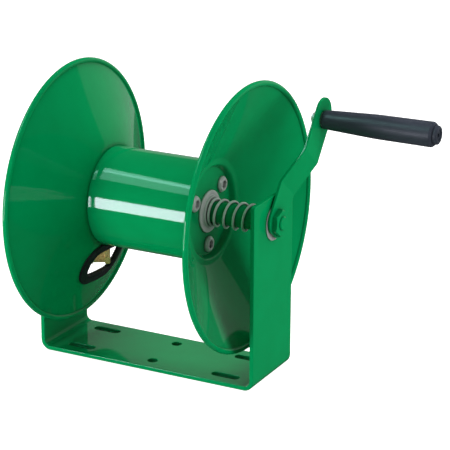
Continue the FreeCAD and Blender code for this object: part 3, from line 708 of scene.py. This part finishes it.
def double_d(u):
    """Outline of the arm's seat at u: a round hole with two flats, which have points only at their ends."""
    flat = CRANK_FLATS / 2
    reach = math.sqrt(CRANK_SEAT_R ** 2 - flat ** 2)
    ring = [p + Vector((u, 0)) for p in circle(CRANK_SEAT_R, count=72)]
    ring = [Vector((p.x, min(max(p.y, -flat), flat))) for p in ring]
    return [p for k, p in enumerate(ring) if (p - ring[k - 1]).length > 0.05
            and (abs(p.y) < flat or abs(abs(p.x - u) - reach) < 0.6)]


def crank_arm():
    """Flat bar cut with its holes, then joggled outwards by two opposite bends."""
    slant = math.atan2(JOG_OUT, JOG_END - JOG_START)
    take = math.tan(slant / 2)
    first, second = CRANK_BENDS
    slope = math.hypot(JOG_OUT, JOG_END - JOG_START) - (first + second) * take
    runs = [(CRANK_TAIL + JOG_START - first * take, 0), ((first - CRANK_T / 2) * slant, -slant), (slope, 0),
            ((second + CRANK_T / 2) * slant, slant), (CRANK_FAR - JOG_END - second * take, 0)]
    total = sum(length for length, _ in runs)
    half = CRANK_W / 2
    outline = rounded([(0, -half, CRANK_TAIL_R), (total, -half, half - 0.01), (total, half, half - 0.01),
                       (0, half, CRANK_TAIL_R)], step=5)
    grip_hole = circle(GRIP_HOLE_R, total - (CRANK_FAR - CRANK_THROW), 0, 48)
    bm = plate(outline, [double_d(CRANK_TAIL), grip_hole], CRANK_T, CRANK_EDGE)
    middle = ARM_X + CRANK_T / 2
    fold(bm, runs,
         lambda ahead, across, aside: Vector((middle - aside, across, AXIS_Z - CRANK_TAIL + ahead)))
    return tilted(bm)


def crank_nut():
    """Chamfered hexagon nut, painted over with the arm."""
    x0, x1 = ARM_X + CRANK_T, ARM_X + CRANK_T + NUT_T
    corner = NUT_AF / math.sqrt(3)
    body = prism(hexagon(NUT_AF, 0, AXIS_Z), x0, x1)
    barrel = lathe([(x0 - 0.1, 0), (x0 - 0.1, corner - 0.6), (x0 + 0.3, corner), (x1 - 1.1, corner),
                    (x1, corner - 1.9), (x1, 0)], count=120)
    return tilted(soften(carve(body, barrel, "INTERSECT"), 0.45, 20, 3))


def grip():
    """Moulded grip that widens from the arm to its chamfered outer end, where the plug has its pocket."""
    end = GRIP_X + GRIP_LEN
    swell, pocket = GRIP_X + 0.48 * GRIP_LEN, end - POCKET
    profile = rounded([(GRIP_X, GRIP_BORE_R, 0), (GRIP_X, GRIP_START_R, 1.5), (swell, GRIP_SWELL_R, 150),
                       (end - 2.5, GRIP_END_R, 2.0), (end, GRIP_END_R - 1.8, 1.0), (end, POCKET_R, 0.3),
                       (pocket, POCKET_R, 0), (pocket, GRIP_BORE_R, 0)], step=6, reach=3)
    return tilted(lathe([(p.x, p.y) for p in profile], 0, AXIS_Z + CRANK_THROW, 160))


def grip_end_cap():
    """Push-in plug with a raised ring round a sunk face, and a small hole in a low boss."""
    end = GRIP_X + GRIP_LEN
    face, root, seat = end + CAP_T, end - 3.0, end + 0.05
    hole, ring = 2.2, 10.6
    profile = rounded([(root, hole, 0), (root, POCKET_R, 0.4), (seat, POCKET_R, 0), (seat, ring, 0.5),
                       (face, ring, 2.2), (face, 6.6, 0.5), (face - 1.4, 5.8, 0.4), (face - 1.4, 3.6, 0.2),
                       (face - 0.9, 3.4, 0.2), (face - 0.9, hole, 0.2)], step=12)
    return tilted(lathe([(p.x, p.y) for p in profile], 0, AXIS_Z + CRANK_THROW, 128))


# --- putting it together -------------------------------------------------------------------------
piece("bracket", frame_bracket(), "frame", "green_paint", GREEN, "frame_bracket")
piece("drum", drum_tube(), "spool", "green_paint", GREEN, "drum_tube")
piece("disc_left", disc(-1), "spool", "green_paint", GREEN, "left_disc")
piece("disc_right", disc(1), "spool", "green_paint", GREEN, "right_disc")
piece("hole_edging", hose_hole_trim(), "spool", "black_rubber", RUBBER, "hose_hole_trim", crease=50)
piece("through_bolts", tie_bolts(), "spool", "zinc_steel", ZINC, "tie_bolts")
piece("spring_cup", spring_seat(), "spool", "zinc_steel", ZINC, "spring_seat")
piece("spring", drag_spring(), "spool", "zinc_steel", ZINC, "drag_spring")
piece("spring_washer", washer(THRUST_X, THRUST_X + THRUST_T, THRUST_R, SHAFT_R + SHAFT_GAP),
      "spool", "zinc_steel", ZINC, "thrust_washer")
piece("arm_washer", washer(SHOULDER_X, ARM_X, CRANK_WASHER_R, CRANK_SEAT_R),
      "spool", "zinc_steel", ZINC, "crank_washer")
piece("arm", crank_arm(), "spool", "green_paint", GREEN, "crank_arm")
piece("arm_nut", crank_nut(), "spool", "green_paint", GREEN, "crank_nut")
piece("handle", grip(), "grip_body", "grip_plastic", GRIP, "grip")
piece("handle_plug", grip_end_cap(), "grip_body", "grip_plastic", GRIP, "grip_end_cap")

# CAD nodes drawn again with softened edges: body, material slot, finish and edge radius
REFINED = {
    "tie_nuts": ("spool", "zinc_steel", ZINC, 0.2),
    "grip_nut": ("spool", "zinc_steel", ZINC, 0.2),
    "left_collar": ("spool", "zinc_steel", ZINC, 0.0),
    "manifold_block": ("spool", "brass", BRASS, 0.5),
    "outlet_elbow": ("spool", "brass", CAST_BRASS, 0.4),
    "outlet_coupling": ("spool", "brass", BRASS, 0.3),
    "inlet_elbow": ("swivel", "brass", CAST_BRASS, 0.5),
    "inlet_plug": ("swivel", "brass", BRASS, 0.3),
}
for node, (body, slot, finish, width) in REFINED.items():
    piece(node + "_fine", refined(node, width), body, slot, finish, node)

# finish of each material slot, for the CAD nodes' own meshes
CARRIED = {
    "green_paint": GREEN, "zinc_steel": ZINC, "black_oxide": OXIDE, "brass": BRASS,
    "black_rubber": RUBBER, "grip_plastic": GRIP, "nylon": NYLON,
}
for row in frame["record"]["subparts"]:
    node = frame["nodes"][row["node"]]
    node.data.materials.clear()
    node.data.materials.append(CARRIED[row["material_slot"]])


# --- stage ------------------------------------------------------------------------------------
FLOOR_SEEN, FILL, FILL_MIRRORED = 1.0, 0.25, 0.06
COOL, TEAL = (0.84, 0.86, 1.0), (0.5, 1.0, 0.95)
FLOOR_SIDE, FLOOR_DROP, SHADOW_SHEET_DROP = 18000.0, 0.4, 0.2
CAMERA_AT, LENS = (1.0197, -1.8096, 0.8553), 155.2           # metres, and millimetres on 36
CAMERA_TURN, CAMERA_TILT, CAMERA_ROLL = 27.5, 71.47, 0.25    # degrees


def softbox(name, azimuth, elevation, distance, size, power, mirrored=False, colour=(1, 1, 1)):
    """Area light of size (wide, high) metres that faces the hub, azimuth degrees from +Y towards +X.

    A mirrored light is seen only in glossy surfaces; any other only lights them softly.
    """
    data = bpy.data.lights.new(name, "AREA")
    data.shape = "RECTANGLE"
    data.size, data.size_y = size
    data.energy = power
    data.color = colour
    light = bpy.data.objects.new(name, data)
    turn, rise = math.radians(azimuth), math.radians(elevation)
    away = Vector((math.sin(turn) * math.cos(rise), math.cos(turn) * math.cos(rise), math.sin(rise)))
    light.location = Vector((0, 0, AXIS_Z * MM)) + away * distance
    light.rotation_euler = away.to_track_quat("Z", "Y").to_euler()
    light.visible_camera = False
    light.visible_diffuse, light.visible_glossy = not mirrored, mirrored
    bpy.context.scene.collection.objects.link(light)


def by_ray(tree, camera, glossy, other):
    """Value for the camera's own rays, for those of mirror-like surfaces and for all others."""
    path = tree.nodes.new("ShaderNodeLightPath")
    value = other
    for kind, wanted in (("Is Glossy Ray", glossy), ("Is Camera Ray", camera)):
        node = tree.nodes.new("ShaderNodeMapRange")
        tree.links.new(path.outputs[kind], node.inputs["Value"])
        if isinstance(value, float):
            node.inputs["To Min"].default_value = value
        else:
            tree.links.new(value, node.inputs["To Min"])
        node.inputs["To Max"].default_value = wanted
        value = node.outputs["Result"]
    return value


def sheet(name, width, depth, z, low, high):
    """Level sheet of the stage under the reel, with faint mottling between two greys."""
    bm = bmesh.new()
    bmesh.ops.create_grid(bm, x_segments=8, y_segments=8, size=0.5)
    bmesh.ops.transform(bm, matrix=Matrix.Diagonal((width, depth, 1, 1)), verts=bm.verts)
    bmesh.ops.translate(bm, vec=(0, 0, z), verts=bm.verts)
    made = raw_object(name, bm, MM)
    finish = Finish(name)
    finish.link("Base Color", finish.ramp(finish.noise(3, 4), (low,) * 3, (high,) * 3))
    finish.link("Roughness", finish.ramp(finish.noise(12, 3), 0.75, 0.9))
    finish.set(Specular_IOR_Level=0.0)
    made.data.materials.append(finish.material)
    made.visible_glossy = False
    made.visible_shadow = False
    return finish


def pale_floor():
    """Wide white sheet that stays even, and a near-black sheet just under the base plate that is a painted
    shadow of the plate on the floor.
    """
    finish = sheet("floor", FLOOR_SIDE, FLOOR_SIDE, -FLOOR_DROP, 0.55, 0.57)
    finish.set(Emission_Color=(1, 1, 1, 1))
    finish.link("Emission Strength", by_ray(finish.tree, FLOOR_SEEN, 0.0, 0.0))
    flat = 2 * (BRACKET_HALF - BEND_IN - PLATE)
    # Painted shadow: this dark sheet stands in for the shade under the base plate.
    sheet("painted_shadow_under_base", flat, 0.9 * BRACKET_W, -SHADOW_SHEET_DROP, 0.010, 0.014)


def white_surroundings():
    """World that is white to the camera and dimmer to the object."""
    world = bpy.data.worlds.new("studio")
    bpy.context.scene.world = world
    world.use_nodes = True
    tree = world.node_tree
    background = tree.nodes["Background"]
    background.inputs["Color"].default_value = (1, 1, 1, 1)
    tree.links.new(by_ray(tree, 1.0, FILL_MIRRORED, FILL), background.inputs["Strength"])


def studio_camera():
    data = bpy.data.cameras.new("camera")
    data.sensor_width = 36.0
    data.lens = LENS
    data.clip_end = 50.0
    camera = bpy.data.objects.new("camera", data)
    camera.matrix_world = (Matrix.Translation(CAMERA_AT)
                           @ Matrix.Rotation(math.radians(CAMERA_TURN), 4, "Z")
                           @ Matrix.Rotation(math.radians(CAMERA_TILT), 4, "X")
                           @ Matrix.Rotation(math.radians(CAMERA_ROLL), 4, "Z"))
    bpy.context.scene.collection.objects.link(camera)
    bpy.context.scene.camera = camera


pale_floor()
white_surroundings()
softbox("front_strip", 207.9, -2.2, 1.3, (0.24, 0.476), 10.8, True, COOL)
softbox("window_edge", 237.7, 56.5, 1.5, (0.8, 0.13), 2.6, True, TEAL)
softbox("window", 226.2, 49.7, 1.5, (0.8, 0.40), 4.6, True, TEAL)
softbox("backdrop", 6, 8, 1.3, (2.2, 0.75), 1.6, True)
softbox("front_fill", 210, -5, 1.7, (0.7, 0.6), 20.5)
softbox("key_right", 97, 34, 1.7, (0.7, 0.6), 9.2)
softbox("side_right", 94, -2, 1.7, (0.7, 0.6), 6.2)
softbox("top_back", 345, 55, 1.7, (1.0, 0.6), 22.5)
softbox("low_back", 30, -11, 1.7, (0.7, 0.6), 7.2)
softbox("top_front", 210, 55, 1.7, (0.7, 0.6), 2.4)
bpy.context.scene.view_settings.view_transform = "Standard"
studio_camera()
